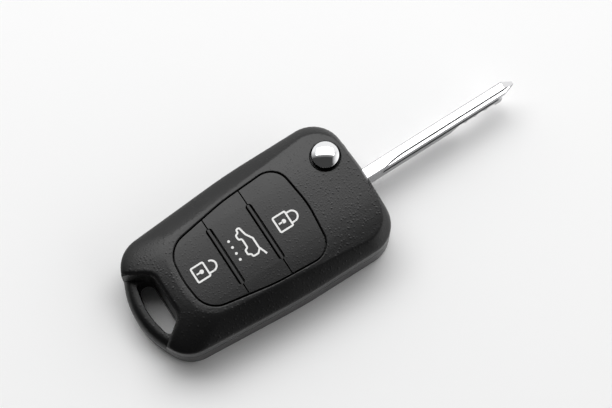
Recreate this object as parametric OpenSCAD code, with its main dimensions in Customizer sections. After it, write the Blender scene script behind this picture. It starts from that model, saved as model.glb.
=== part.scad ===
// Folding car key: a two-shell case with three press keys, a flip-out blade and a keyring slot.
// The origin is the middle of the flat back. X runs towards the blade, Z up through the keys.

/* [Case] */
// Length from the keyring end to the blade end
case_l = 65.75; // [63:0.25:72]
// Width across the blade end
case_w = 36.2; // [36:0.1:42]
// Width across the corners at the keyring end
ring_end_w = 31.3; // [30:0.1:34]
// Thickness from the back to the flat top
case_t = 15; // [14.6:0.1:18]
// Radius of the two corners at the blade end
blade_corner_r = 8; // [4:0.5:9]
// Radius of the two corners at the keyring end
ring_corner_r = 8; // [5:0.5:9]
// Height of the sloping shoulder below the flat top
shoulder_h = 3.6; // [2:0.1:4]
// Rounding along the edge of the back
base_r = 1.5; // [0.5:0.1:2]
// Thickness of the walls inside the case
wall = 1.4; // [1:0.1:2]

/* [Keys] */
// Distance of the key pad from the blade end of the case
pad_blade_margin = 16.7; // [16:0.1:18]
// Distance of the key pad from the keyring end of the case
pad_ring_margin = 14.55; // [14:0.05:16]
// Width of the pad at the blade end
pad_blade_w = 25.4; // [22:0.1:26]
// Width of the pad at the keyring end
pad_ring_w = 17.6; // [16:0.1:22]
// Gap between the pad and the case
pad_gap = 0.35; // [0.25:0.05:0.5]
// Thickness of a key's cap
cap_t = 1.9; // [1.6:0.1:2.2]
// Travel of a key
key_travel = 0.4; // [0.2:0.1:0.5]
// Share of the pad's length that the lock key takes
lock_share = 0.347; // [0.3:0.001:0.37]
// Share of the pad's length that the tailgate key takes
tailgate_share = 0.327; // [0.3:0.001:0.37]
// Length of the ribs between the keys
rib_l = 16; // [10:0.5:17]
// Thickness of the ribs between the keys
rib_t = 0.8; // [0.5:0.1:1]

/* [Blade] */
// Length of the blade that stands out of the case
blade_l = 44.4; // [35:0.1:46]
// Height of the blade, which stands on edge
blade_h = 7.6; // [7:0.1:8]
// Height of the blade's centre line above the back
blade_z = 6.9; // [6.7:0.1:7.2]
// Thickness of the blade
blade_t = 2.7; // [2:0.1:3]
// Depth of the milled groove in each side of the blade
groove_d = 0.8; // [0.3:0.1:0.9]
// Depth of the cuts in the lower edge of the blade
bitting_d = 2.2; // [1:0.1:2.6]

/* [Flip hinge] */
// Distance of the pivot from the blade end of the case
pivot_setback = 6.25; // [6:0.05:7]
// Distance of the pivot from the blade's centre line
pivot_y = 7.9; // [7.6:0.1:8.3]
// Radius of the turning head
hub_r = 6; // [5.5:0.1:6]
// Diameter of the pivot on the back shell
pivot_d = 4.4; // [3:0.1:5]

/* [Release button] */
// Diameter of the chrome button
release_d = 6.7; // [5.5:0.1:7.2]
// Gap around the chrome button
release_gap = 0.42; // [0.3:0.01:0.5]
// Height of the button's crown above the case
release_proud = 2.2; // [1.5:0.1:3]
// Travel of the button
release_travel = 2; // [1:0.1:2.2]

/* [Keyring slot] */
// Width of the slot
ring_slot_w = 4.65; // [4.4:0.05:5.2]
// Length of the slot
ring_slot_l = 14.8; // [12:0.1:15]
// Width of the bar outside the slot
ring_bar_w = 3.4; // [3:0.1:4]
// Rounding along the outer edge of the bar
bar_r = 2; // [0.5:0.1:2.4]

/* [Electronics] */
// Diameter of the coin cell
cell_d = 20; // [16:1:20]
// Thickness of the coin cell
cell_t = 3.2; // [2:0.1:3.2]
// Thickness of the circuit board
board_t = 1; // [0.8:0.1:1.2]
// Width of a push switch
switch_w = 4.2; // [3.5:0.1:5]
// Height of a push switch
switch_h = 1.2; // [1:0.1:1.4]
// Diameter of a switch's stem
stem_d = 1.8; // [1.4:0.1:2.2]

/* [Screws] */
// Diameter of the case screws
screw_d = 2; // [1.6:0.1:2.2]
// Diameter of a screw's head
screw_head_d = 3.8; // [3.2:0.1:4]

/* [Hidden] */
$fn = 64;

// Clearances: running is around shafts, fit around still parts, swing around what turns or slides past
running = 0.05;
fit = 0.1;
swing = 0.4;
pin_fit = 0.02;
cut = 1;

// Outer form
blade_x = case_l / 2;
ring_x = -case_l / 2;
waist_x = 4;
waist_bow = 0.05;
side_r = 150;
blade_end_rake = 0.95;
blade_end_r = 80;
ring_end_rake = 7.35;
ring_end_r = 22;
part_z = case_t / 2;
arc_steps = 8;

// Flat top: how far it stays inside the outer form
top_inset_end = 1.2;
top_inset_corner = 2.1;
top_inset_waist = 4.8;
top_margin_ring = 1.7;
top_margin_side = 2.1;
top_blade_bow = 0.1;
top_ring_bow = 0.9;
top_ring_rake = 2.3;
top_corner_r = blade_corner_r - 1;
top_waist_r = 50;
top_ring_r = 6.5;
shoulder_steps = 8;
shoulder_lead = 1.15;
shoulder_full = 0.556;
base_steps = 4;

// Key pad
pad_x1 = blade_x - pad_blade_margin;
pad_x0 = ring_x + pad_ring_margin;
pad_l = pad_x1 - pad_x0;
pad_blade_rake = 1.4;
pad_ring_rake = 1;
pad_end_r = 26;
pad_blade_r = 4.75;
pad_ring_r = 6;
pad_waist_share = 0.52;
pad_waist_full = 0.764;
pad_waist_r = 50;
key_gap = 0.3;
rib_gap = 0.45;
rib_drop = 0.3;
channel_w = rib_t + 2 * rib_gap;
lock_x0 = pad_x1 - lock_share * pad_l;
tailgate_x0 = lock_x0 - tailgate_share * pad_l;
key_x = [(pad_x1 + lock_x0) / 2, (lock_x0 + tailgate_x0) / 2, (tailgate_x0 + pad_x0) / 2];
cap_z = case_t - cap_t;
pocket_z = cap_z - key_travel - fit;
plunger_d = 3;

// Hinge
pivot_x = blade_x - pivot_setback;
slot_z0 = blade_z - blade_h / 2 - swing;
slot_z1 = blade_z + blade_h / 2 + swing;
hub_gap = 0.3;
hub_z0 = slot_z0 + hub_gap;
hub_z1 = slot_z1 - hub_gap;
hub_skin = 1.1;
hub_y0 = -blade_t / 2 - hub_skin;
hub_low_y = hub_y0 + hub_r;
chamber_r = pivot_y - hub_y0 + swing;
collar_h = 1;
collar_wall = 1.5;
flange_d = 9;
collar_d = flange_d + 2 * collar_wall;
pivot_h = 1.8;
pivot_z1 = slot_z0 + pivot_h;
hub_floor_t = 1;
hub_floor_z = pivot_z1 + hub_floor_t;
washer_t = 0.2;
washer_rim = 2.5;
washer_d = pivot_d + 2 * washer_rim;

// Release button and its spring
button_crown = 1;
spring_wire_d = 0.8;
spring_turns = 3;
spring_gap = 0.3;
spring_solid_h = (spring_turns + 1) * spring_wire_d + 2 * fit;
plunger_z0 = hub_floor_z + spring_solid_h + release_travel;
plunger_z1 = hub_z1 + collar_h;
turn_steps = 20;
wire_steps = 8;

// Blade
tip_x = blade_x + blade_l;
tang_step = 1;
tang_h = blade_h - 2 * tang_step;
tang_l = 3.4;
tang_x0 = pivot_x - tang_l;
shank_x = pivot_x + hub_r + fit;
blade_pin_d = 2;
bit_count = 4;
bit_pitch = 3;
bit_slope = 0.8;
bit_flat = 1.2;
bits_l = 17.5;
bit_x0 = tip_x - bits_l;
bit_lead = 1.5;
bit_crest = 0.55;
bit_step = 0.33;
nose_l = 3;
nose_h = 1.9;
nose_under = 3.6;
nose_t = 0.7;
tab_l = 1.8;
tab_rise = 0.2;
beak_low = 0.3;
beak_tip = 1;
groove_set_out = 5;
groove_x0 = blade_x + groove_set_out;
groove_w = 1.6;
groove_low = 1;
near_groove_z = [blade_z - groove_low, blade_z - groove_low + groove_w];
far_groove_z = [blade_z - groove_low - groove_w, blade_z - groove_low];
rail_set_out = 11.7;
rail_x0 = blade_x + rail_set_out;
rail_w = 0.8;
rail_h = 1;
rail_run_r = 26;
rail_y = rail_w - blade_t / 2;
rail_z = blade_z + blade_h / 2 - rail_h;

// Room for the folded blade
fold_y = 2 * pivot_y;
fold_tip_x = 2 * pivot_x - tip_x;
fold_gap = 1.4;
slot_y0 = fold_y - blade_t / 2 - swing;
mouth_y0 = -blade_t / 2 - swing;

// Keyring end
ring_slot_x0 = ring_x + ring_bar_w;
ring_slot_x1 = ring_slot_x0 + ring_slot_w;
ring_slot_rake = 1.6;
slot_outer_r = 1.7;
slot_inner_r = 1.9;
bar_brow = 0.35 * bar_r;
bar_brow_drop = 0.25 * bar_r;
bar_slope = 1.6;

// Hollow over the keyring slot: its foot, and how far its end and sides lean out up to the flat top
scoop_gap = 0.15;
scoop_y = 5.6;
scoop_rake = 0.75;
scoop_l = 14;
scoop_r = 2.5;
scoop_flare = 0.7;
scoop_side_flare = 0.3;

// Inside stack, from the keys down to the cover
membrane_t = 0.6;
membrane_gap = 0.6;
membrane_z1 = pocket_z - membrane_gap;
membrane_z0 = membrane_z1 - membrane_t;
foot_d = 2;
switch_gap = 0.2;
switch_z1 = membrane_z0 - switch_gap;
board_z1 = switch_z1 - switch_h;
board_z0 = board_z1 - board_t;
board_gap = 0.3;
stem_z1 = switch_z1 + key_travel + fit;
stem_z0 = board_z1 + key_travel + fit;
contact_t = 0.25;
contact_h = 0.7;
contact_w = 3;
contact_l = 8;
contact_tab = 1.5;
cell_z1 = board_z0 - contact_h;
cell_z0 = cell_z1 - cell_t;
cell_step_h = 0.3;
cell_step_w = 1.2;
cover_t = 1.6;
floor_lip = 0.6;
floor_z = cover_t + floor_lip;
cavity_lap = 0.3;
cavity_top = pocket_z + cavity_lap;

// Inside plan
cavity_ring_gap = 2.72;
cavity_x0 = pad_x0 - cavity_ring_gap;
cavity_x1 = pivot_x - chamber_r - wall;
cavity_widen = 0.25;
cavity_y0 = wall - ring_end_w / 2 - cavity_widen;
cavity_y1 = slot_y0 - wall;
cavity_r = 3;
cell_shift = 1;
cell_xy = [(cavity_x0 + cavity_x1) / 2 - cell_shift, (cavity_y0 + cavity_y1) / 2];
cell_gap = 0.3;
well_d = cell_d + 2 * cell_gap;
well_wall = 1;
leg_slot_w = contact_w + 2 * board_gap;
cover_lip = 1.2;
cover_d = well_d + 2 * cover_lip;
plug_gap = 1;
plug_d = well_d - 2 * plug_gap;
coin_slot = [1.6, 12.7, 1.4];
seal_d = 0.9;
boss_d = screw_d + 2 * wall;
boss_lap = 0.3;
boss_in = boss_d / 2 - boss_lap;
screw_xy = [[cavity_x0 + boss_in, cavity_y0 + boss_in], [cavity_x0 + boss_in, cavity_y1 - boss_in],
    [cavity_x1 - boss_in, cavity_y0 + boss_in]];
screw_z0 = 0.3;
screw_head_h = 1.6;
screw_tip_gap = 1;
screw_z1 = cavity_top - screw_tip_gap;
cross_l = 2.2;
cross_w = 0.5;

// Chips and coil: size, then the corner nearest the origin's side of the board
controller_size = [6, 5, 0.9];
controller_gap = 1.5;
controller_at = [key_x[1] - controller_size.x / 2, switch_w / 2 + controller_gap, board_z1];
crystal_size = [5, 3, 0.9];
edge_gap = 2;
crystal_at = [lock_x0 - crystal_size.x / 2, cavity_y0 + edge_gap, board_z1];
coil_size = [3.2, 9.5, 2.4];
coil_gap = 1;
coil_at = [cavity_x1 - coil_size.x - coil_gap, cavity_y1 - coil_size.y - edge_gap, board_z0 - coil_size.z];
chip_size = [12, 6, 3];
chip_edge = [1, 3];
chip_at = [blade_x - chip_edge.x - 2 * wall - chip_size.x, cavity_y0 + chip_edge.y,
    part_z - chip_size.z - fit];

// Points on the arc that rounds the corner b of the path a, b, c
function unit(v) = v / norm(v);
function corner_arc(a, b, c, r, n) =
    let (u = unit(a - b), w = unit(c - b), half = acos(u * w) / 2,
        mid = b + unit(u + w) * r / sin(half),
        p = b + u * r / tan(half) - mid, q = b + w * r / tan(half) - mid,
        start = atan2(p.y, p.x), turn = (atan2(q.y, q.x) - start + 540) % 360 - 180)
    [for (i = [0:n]) mid + r * [cos(start + turn * i / n), sin(start + turn * i / n)]];
function flat(c) = [c.x, c.y];
function rounded(corners, n = arc_steps) =
    let (m = len(corners))
    [for (i = [0:m - 1])
        let (a = corners[(i + m - 1) % m], b = corners[i], c = corners[(i + 1) % m])
        each corner_arc(flat(a), flat(b), flat(c), b.z, n)];

// A closed list of corners [x, y, radius] that is the same on both sides of the X axis
function both_sides(front, side, back) =
    concat([front], side, [back], [for (i = [len(side) - 1:-1:0]) [side[i].x, -side[i].y, side[i].z]]);

// Corner of a bowed end: the bow of radius r reaches end_x on the axis, and its sides rake back to y
function bow_lift(rake, r, y) = r * (1 / cos(atan(rake / y)) - 1);

function case_corners(inset) =
    let (by = case_w / 2 - inset, ry = ring_end_w / 2 - inset,
        bx = blade_x - inset + bow_lift(blade_end_rake, blade_end_r, by),
        rx = ring_x + inset - bow_lift(ring_end_rake, ring_end_r, ry))
    both_sides([bx, 0, blade_end_r],
        [[bx - blade_end_rake, by, blade_corner_r - inset], [waist_x, by - waist_bow, side_r],
            [rx + ring_end_rake, ry, ring_corner_r - inset]],
        [rx, 0, ring_end_r]);

function top_corners() =
    let (by = case_w / 2 - top_inset_corner, bx = blade_x - top_inset_end,
        wy = case_w / 2 - top_inset_waist, ry = pad_ring_w / 2 + top_margin_side,
        rx = pad_x0 - top_margin_ring)
    both_sides([bx + top_blade_bow, 0, blade_end_r],
        [[bx - blade_end_rake, by, top_corner_r], [waist_x, wy, top_waist_r],
            [rx - top_ring_bow + top_ring_rake, ry, top_ring_r]],
        [rx - top_ring_bow, 0, pad_end_r]);

function pad_corners(grow) =
    let (by = pad_blade_w / 2 + grow, ry = pad_ring_w / 2 + grow,
        bx = pad_x1 + grow + bow_lift(pad_blade_rake, pad_end_r, by),
        rx = pad_x0 - grow - bow_lift(pad_ring_rake, pad_end_r, ry))
    both_sides([bx, 0, pad_end_r], [[bx - pad_blade_rake, by, pad_blade_r + grow],
        [pad_x0 + pad_waist_share * pad_l, ry + pad_waist_full * (by - ry), pad_waist_r],
        [rx + pad_ring_rake, ry, pad_ring_r + grow]], [rx, 0, pad_end_r]);

function ring_slot_corners() =
    let (y = ring_slot_l / 2, outer_r = ring_end_r - ring_bar_w,
        x = ring_slot_x0 - bow_lift(ring_slot_rake, outer_r, y))
    [[ring_slot_x1, -y, slot_inner_r], [ring_slot_x1, y, slot_inner_r],
        [x + ring_slot_rake, y, slot_outer_r], [x, 0, outer_r], [x + ring_slot_rake, -y, slot_outer_r]];

// Outline of the hollow at a height above the seam: its end and sides lean out
function scoop_corners(z) =
    let (share = (z - part_z) / (case_t - part_z), grow = scoop_flare * share,
        x = ring_slot_x1 + scoop_gap + grow, y = scoop_y + scoop_side_flare * share,
        end_y = y + scoop_l * scoop_rake, r = scoop_r + grow)
    [[x, -y, r], [x, y, r], [x - scoop_l, end_y, cut], [x - scoop_l, -end_y, cut]];

function cavity_corners(inset) =
    let (x0 = cavity_x0 + inset, x1 = cavity_x1 - inset, y0 = cavity_y0 + inset, y1 = cavity_y1 - inset)
    [[x1, y0, cavity_r], [x1, y1, cavity_r], [x0, y1, cavity_r], [x0, y0, cavity_r]];

// Drop of the shoulder, as a share of its height, at a share s of its width
function shoulder_drop(s) = 1 - pow(max(0, 1 - pow(s, shoulder_lead)), shoulder_full);
function lift(points, z) = [for (p = points) [p.x, p.y, z]];

function upper_rings() =
    let (rim = rounded(case_corners(0)), top = rounded(top_corners()))
    concat([lift(rim, part_z - cut)],
        [for (i = [shoulder_steps:-1:0]) let (s = sin(90 * i / shoulder_steps))
            lift(top * (1 - s) + rim * s, case_t - shoulder_h * shoulder_drop(s))],
        [lift(top, case_t + cut)]);

function lower_rings() =
    concat([lift(rounded(case_corners(base_r)), -cut)],
        [for (i = [0:base_steps]) let (a = 90 * i / base_steps)
            lift(rounded(case_corners(base_r * (1 - sin(a)))), base_r * (1 - cos(a)))],
        [lift(rounded(case_corners(0)), part_z + cut)]);

module loft(rings) {
    n = len(rings[0]);
    last = (len(rings) - 1) * n;
    sides = [for (j = [0:len(rings) - 2], i = [0:n - 1])
        let (a = j * n + i, b = j * n + (i + 1) % n) each [[a, a + n, b + n], [a, b + n, b]]];
    ends = [[for (i = [0:n - 1]) i], [for (i = [n - 1:-1:0]) last + i]];
    polyhedron([for (r = rings) each r], concat(ends, sides));
}

module prism(points, z0, z1) translate([0, 0, z0]) linear_extrude(z1 - z0) polygon(points);
module block(p0, p1) translate(p0) cube(p1 - p0);
module post(xy, d, z0, z1) translate([xy.x, xy.y, z0]) cylinder(d = d, h = z1 - z0);

// A loft that is cut flat at z0 and z1
module shell(rings, z0, z1) intersection() {
    loft(rings);
    block([-case_l, -case_w, z0], [case_l, case_w, z1]);
}

// Room that the blade and its head need, in the height of the side slot
module swing_room() {
    post([pivot_x, pivot_y], 2 * chamber_r, slot_z0, slot_z1);
    block([fold_tip_x - fold_gap, slot_y0, slot_z0], [pivot_x, case_w, slot_z1]);
    block([pivot_x, mouth_y0, slot_z0], [blade_x + 2 * cut, case_w, slot_z1]);
}

// Hollow over the keyring slot, with steep walls
module scoop() loft([for (z = [part_z - cut, case_t + cut]) lift(rounded(scoop_corners(z)), z)]);

// What the rounding takes off the outer edge of the bar, between the sides of the hollow
module bar_edge() intersection() {
    translate([ring_x + ring_end_r, 0, part_z]) rotate_extrude() polygon([
        [ring_end_r - bar_r, cut],
        [ring_end_r - bar_r, 0],
        [ring_end_r - bar_brow, -bar_brow_drop],
        [ring_end_r + cut, -bar_brow_drop - (bar_brow + cut) * bar_slope],
        [ring_end_r + cut, cut],
    ]);
    prism(rounded(scoop_corners(part_z)), part_z - 2 * bar_r, part_z + 2 * cut);
}

module upper_case() color("#26272a") difference() {
    union() {
        difference() {
            shell(upper_rings(), part_z, case_t);
            prism(rounded(cavity_corners(0)), part_z - cut, cavity_top);
        }
        for (p = screw_xy) post(p, boss_d, part_z, cavity_top);
    }
    prism(rounded(pad_corners(pad_gap)), pocket_z, case_t + cut);
    swing_room();
    post([pivot_x, pivot_y], collar_d + 2 * running, slot_z1 - cut, plunger_z1 + hub_gap);
    post([pivot_x, pivot_y], release_d + 2 * release_gap, slot_z1, case_t + cut);
    scoop();
    for (p = screw_xy) post(p, screw_d + 2 * running, part_z - cut, screw_z1 + 2 * fit);
}

module lower_case() color("#222326") difference() {
    union() {
        difference() {
            shell(lower_rings(), 0, part_z);
            prism(rounded(cavity_corners(0)), floor_z, part_z + cut);
            swing_room();
        }
        for (p = screw_xy) post(p, boss_d, floor_z, part_z);
        post(cell_xy, well_d + 2 * well_wall, floor_z, board_z0);
        post([pivot_x, pivot_y], pivot_d, slot_z0, pivot_z1);
    }
    post(cell_xy, well_d, -cut, board_z0 + cut);
    post(cell_xy, cover_d + 2 * running, -cut, cover_t);
    block([cell_xy.x, cell_xy.y - leg_slot_w / 2, floor_z],
        [cell_xy.x + well_d / 2 + 2 * well_wall, cell_xy.y + leg_slot_w / 2, board_z0 + cut]);
    prism(rounded(ring_slot_corners()), -cut, part_z + cut);
    bar_edge();
    for (p = screw_xy) {
        post(p, screw_d + 2 * running, -cut, part_z + cut);
        post(p, screw_head_d + 2 * fit, -cut, screw_z0 + screw_head_h);
    }
    translate(chip_at - [fit, fit, 0]) cube(chip_size + [2 * fit, 2 * fit, cut]);
}

module battery_cover() color("#1f2022") difference() {
    union() {
        post(cell_xy, cover_d, 0, cover_t);
        post(cell_xy, plug_d, cover_t, cell_z0 - contact_t);
    }
    translate(cell_xy) cube(coin_slot, center = true);
}

module cover_seal() color("#101010") translate([cell_xy.x, cell_xy.y, cover_t + seal_d / 2 + running])
    rotate_extrude() translate([well_d / 2 - seal_d / 2 - running, 0]) circle(d = seal_d);

module case_screws() color("silver") for (p = screw_xy) {
    difference() {
        post(p, screw_head_d, screw_z0, screw_z0 + screw_head_h);
        for (turn = [0, 90])
            translate([p.x, p.y, screw_z0]) rotate(turn)
                cube([cross_l, cross_w, 2 * cross_w], center = true);
    }
    post(p, screw_d, screw_z0 + screw_head_h, screw_z1);
}

module keypad_membrane() color("#18181a") {
    difference() {
        prism(rounded(cavity_corners(board_gap)), membrane_z0, membrane_z1);
        for (x = key_x) post([x, 0], plunger_d + 2 * swing, membrane_z0 - cut, membrane_z1 + cut);
        for (p = screw_xy) post(p, boss_d + 2 * board_gap, membrane_z0 - cut, membrane_z1 + cut);
    }
    for (x = [lock_x0, tailgate_x0])
        block([x - rib_t / 2, -rib_l / 2, membrane_z1], [x + rib_t / 2, rib_l / 2, case_t - rib_drop]);
    for (x = [lock_x0, tailgate_x0], side = [-1, 1])
        post([x, side * rib_l / 2], foot_d, board_z1, membrane_z0);
}

// One key: the part of the pad from x0 to x1, cut back along the ribs at its inner ends
module key(x0, x1, x) {
    translate([0, 0, cap_z]) linear_extrude(cap_t) difference() {
        intersection() {
            polygon(rounded(pad_corners(0)));
            translate([x0, -pad_blade_w]) square([x1 - x0, 2 * pad_blade_w]);
        }
        for (rib = [lock_x0, tailgate_x0])
            translate([rib - channel_w / 2, -rib_l / 2 - swing]) square([channel_w, rib_l + 2 * swing]);
    }
    post([x, 0], plunger_d, stem_z1, cap_z);
}

module lock_button() color("#2b2c2f") key(lock_x0 + key_gap / 2, pad_x1 + cut, key_x[0]);
module tailgate_button() color("#2b2c2f") key(tailgate_x0 + key_gap / 2, lock_x0 - key_gap / 2, key_x[1]);
module unlock_button() color("#2b2c2f") key(pad_x0 - cut, tailgate_x0 - key_gap / 2, key_x[2]);

module stem(x) color("dimgray") post([x, 0], stem_d, stem_z0, stem_z1);
module lock_stem() stem(key_x[0]);
module tailgate_stem() stem(key_x[1]);
module unlock_stem() stem(key_x[2]);

module switch_bodies() color("silver") for (x = key_x) difference() {
    block([x - switch_w / 2, -switch_w / 2, board_z1], [x + switch_w / 2, switch_w / 2, switch_z1]);
    post([x, 0], stem_d + 4 * running, board_z1 - cut, switch_z1 + cut);
}

module circuit_board() color("darkgreen") difference() {
    prism(rounded(cavity_corners(board_gap)), board_z0, board_z1);
    for (p = screw_xy) post(p, boss_d + 2 * board_gap, board_z0 - cut, board_z1 + cut);
}

module controller_chip() color("#202020") translate(controller_at) cube(controller_size);
module radio_crystal() color("silver") translate(crystal_at) cube(crystal_size);
module antenna_coil() color("sienna") translate(coil_at) cube(coil_size);

module coin_cell() color("lightgray") {
    post(cell_xy, cell_d, cell_z0, cell_z1 - cell_step_h);
    post(cell_xy, cell_d - 2 * cell_step_w, cell_z0, cell_z1);
}

// A flat strip across the cell, and the leg that takes it up to the board
module contact(x0, x1, z, leg_x0, leg_x1) color("gold") {
    y0 = cell_xy.y - contact_w / 2;
    y1 = cell_xy.y + contact_w / 2;
    block([x0, y0, z], [x1, y1, z + contact_t]);
    block([leg_x0, y0, z], [leg_x1, y1, board_z0]);
}

module positive_contact() {
    leg_x = cell_xy.x + well_d / 2 + fit;
    contact(cell_xy.x, leg_x + contact_t, cell_z0 - contact_t, leg_x, leg_x + contact_t);
}

module negative_contact() {
    x0 = cell_xy.x - contact_l / 2;
    contact(x0, x0 + contact_l, cell_z1, x0, x0 + contact_tab);
}

module transponder_chip() color("#303030") translate(chip_at) cube(chip_size);

// Side view of the blade, from the tang to the nose, with the cuts in its lower edge
function blade_side() =
    let (z0 = blade_z - blade_h / 2, z1 = blade_z + blade_h / 2,
        t0 = blade_z - tang_h / 2, t1 = blade_z + tang_h / 2,
        crest = z0 + bitting_d * bit_crest, cut_end = 2 * bit_slope + bit_flat)
    concat([[tang_x0, t1], [tang_x0, t0], [shank_x, t0], [shank_x, z0], [bit_x0 - bit_lead, z0]],
        [for (i = [0:bit_count - 1])
            let (x = bit_x0 + bit_pitch * i, deep = z0 + bitting_d - bit_step * (i % 2))
            each [[x, crest], [x + bit_slope, deep], [x + bit_slope + bit_flat, deep], [x + cut_end, crest]]],
        [[tip_x - nose_under - tab_l, z0 + tab_rise], [tip_x - nose_under, z0 + tab_rise],
            [tip_x - nose_under, blade_z + beak_low], [tip_x, blade_z + beak_tip],
            [tip_x, blade_z + nose_h], [tip_x - nose_l, z1], [shank_x, z1], [shank_x, t1]]);

// Plan view of the blade, pointed at the nose
function blade_plan() =
    let (h = blade_t / 2, n = nose_t / 2, x = tip_x - nose_l - fit)
    [[tang_x0, -h], [x, -h], [tip_x, -n], [tip_x, n], [x, h], [tang_x0, h]];

module key_blade() color("gainsboro") difference() {
    intersection() {
        translate([0, blade_t / 2 + cut, 0]) rotate([90, 0, 0])
            linear_extrude(blade_t + 2 * cut) polygon(blade_side());
        prism(blade_plan(), 0, case_t);
    }
    // A long groove in each side, and the rail on the near upper edge, which starts in the cutter's arc
    block([groove_x0, -blade_t, near_groove_z[0]], [tip_x + cut, groove_d - blade_t / 2, near_groove_z[1]]);
    block([groove_x0, blade_t / 2 - groove_d, far_groove_z[0]], [tip_x + cut, blade_t, far_groove_z[1]]);
    block([rail_x0, -blade_t, rail_z], [tip_x + cut, rail_y, case_t]);
    post([rail_x0, rail_y - rail_run_r], 2 * rail_run_r, rail_z, case_t);
    post([pivot_x, 0], blade_pin_d + 2 * pin_fit, 0, case_t);
}

module blade_hub() color("#2a2a2c") difference() {
    union() {
        post([pivot_x, pivot_y], 2 * hub_r, hub_z0, hub_z1);
        post([pivot_x, hub_low_y], 2 * hub_r, hub_z0, hub_z1);
        block([pivot_x - hub_r, hub_low_y, hub_z0], [pivot_x + hub_r, pivot_y, hub_z1]);
        post([pivot_x, pivot_y], collar_d, hub_z1, plunger_z1);
    }
    post([pivot_x, pivot_y], flange_d + 2 * fit, hub_floor_z, case_t);
    post([pivot_x, pivot_y], pivot_d + 2 * running, 0, pivot_z1 + 2 * fit);
    block([tang_x0, -blade_t / 2, blade_z - tang_h / 2], [blade_x, blade_t / 2, blade_z + tang_h / 2]);
    post([pivot_x, 0], blade_pin_d + 2 * pin_fit, 0, case_t);
}

module blade_pin() color("silver") post([pivot_x, 0], blade_pin_d, hub_z0, hub_z1);

module hub_washer() color("silver") difference() {
    post([pivot_x, pivot_y], washer_d, slot_z0, slot_z0 + washer_t);
    post([pivot_x, pivot_y], pivot_d + 2 * running, slot_z0 - cut, slot_z0 + cut);
}

module release_plunger() color("#303032") post([pivot_x, pivot_y], flange_d, plunger_z0, plunger_z1);

module release_button() color("white") {
    top_z = case_t + release_proud;
    ball_r = (release_d * release_d / 4 + button_crown * button_crown) / (2 * button_crown);
    intersection() {
        post([pivot_x, pivot_y], release_d, plunger_z1, top_z);
        translate([pivot_x, pivot_y, top_z - ball_r]) sphere(r = ball_r);
    }
}

// Coil spring between the head and the plunger
module flip_spring() color("silver") {
    wire_r = spring_wire_d / 2;
    coil_r = flange_d / 2 - wire_r - spring_gap;
    z0 = hub_floor_z + wire_r;
    rise = plunger_z0 - spring_wire_d - hub_floor_z;
    steps = spring_turns * turn_steps;
    loft([for (i = [0:steps]) let (a = 360 * spring_turns * i / steps)
        [for (k = [0:wire_steps - 1]) let (b = -360 * k / wire_steps, r = coil_r + wire_r * cos(b))
            [pivot_x + r * cos(a), pivot_y + r * sin(a), z0 + rise * i / steps + wire_r * sin(b)]]]);
}

upper_case();
lower_case();
battery_cover();
cover_seal();
case_screws();
keypad_membrane();
lock_button();
tailgate_button();
unlock_button();
lock_stem();
tailgate_stem();
unlock_stem();
switch_bodies();
circuit_board();
controller_chip();
radio_crystal();
antenna_coil();
coin_cell();
positive_contact();
negative_contact();
transponder_chip();
key_blade();
blade_hub();
blade_pin();
hub_washer();
release_button();
release_plunger();
flip_spring();
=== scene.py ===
import math

import bmesh
import bpy
from mathutils import Matrix, Vector
from mathutils.bvhtree import BVHTree


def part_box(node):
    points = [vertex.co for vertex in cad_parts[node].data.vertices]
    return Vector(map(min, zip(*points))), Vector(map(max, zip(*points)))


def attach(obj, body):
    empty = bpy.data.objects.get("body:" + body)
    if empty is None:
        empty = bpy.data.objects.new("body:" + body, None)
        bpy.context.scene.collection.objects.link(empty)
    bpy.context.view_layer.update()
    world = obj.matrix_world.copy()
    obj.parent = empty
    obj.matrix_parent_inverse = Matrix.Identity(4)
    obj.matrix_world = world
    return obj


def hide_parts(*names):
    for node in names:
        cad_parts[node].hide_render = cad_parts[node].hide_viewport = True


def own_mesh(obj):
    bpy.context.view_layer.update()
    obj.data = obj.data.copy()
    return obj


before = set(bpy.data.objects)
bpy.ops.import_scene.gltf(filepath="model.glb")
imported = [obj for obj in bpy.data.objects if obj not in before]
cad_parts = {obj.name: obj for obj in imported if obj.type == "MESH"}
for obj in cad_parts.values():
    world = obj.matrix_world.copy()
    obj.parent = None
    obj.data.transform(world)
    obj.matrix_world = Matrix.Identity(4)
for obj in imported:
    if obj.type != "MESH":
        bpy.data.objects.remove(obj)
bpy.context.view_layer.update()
scene = bpy.context.scene
mm = 0.001
weld = 0.0001  # points closer than this are one
nearly = 0.001  # points this close to a cut lie on it
over = 1  # how far a cutter stands past the face that it opens
lap = 0.3  # how far a post reaches into the floor or roof that carries it
quarter = math.pi / 2
print("frame loaded,", len(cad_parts), "nodes")


# Places taken from the frame, in millimetres like all the shapes below
def spanOf(node):
    low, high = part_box(node)
    return Vector(low) / mm, Vector(high) / mm


def middleOf(node):
    low, high = spanOf(node)
    return (low + high) / 2


lowerLow, lowerHigh = spanOf("lower_case")
upperLow, upperHigh = spanOf("upper_case")
buttonLow, buttonHigh = spanOf("release_button")
bladeHigh = spanOf("key_blade")[1]
bladeEnd, ringEnd, halfWidth = lowerHigh.x, lowerLow.x, lowerHigh.y
caseTop, seamZ = upperHigh.z, upperLow.z
buttonRadius = (buttonHigh.x - buttonLow.x) / 2
pivot, cellPlace = middleOf("release_button"), middleOf("coin_cell")


# Shape tools
def quarterTurns(steps):
    return [quarter * i / steps for i in range(steps + 1)]


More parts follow.
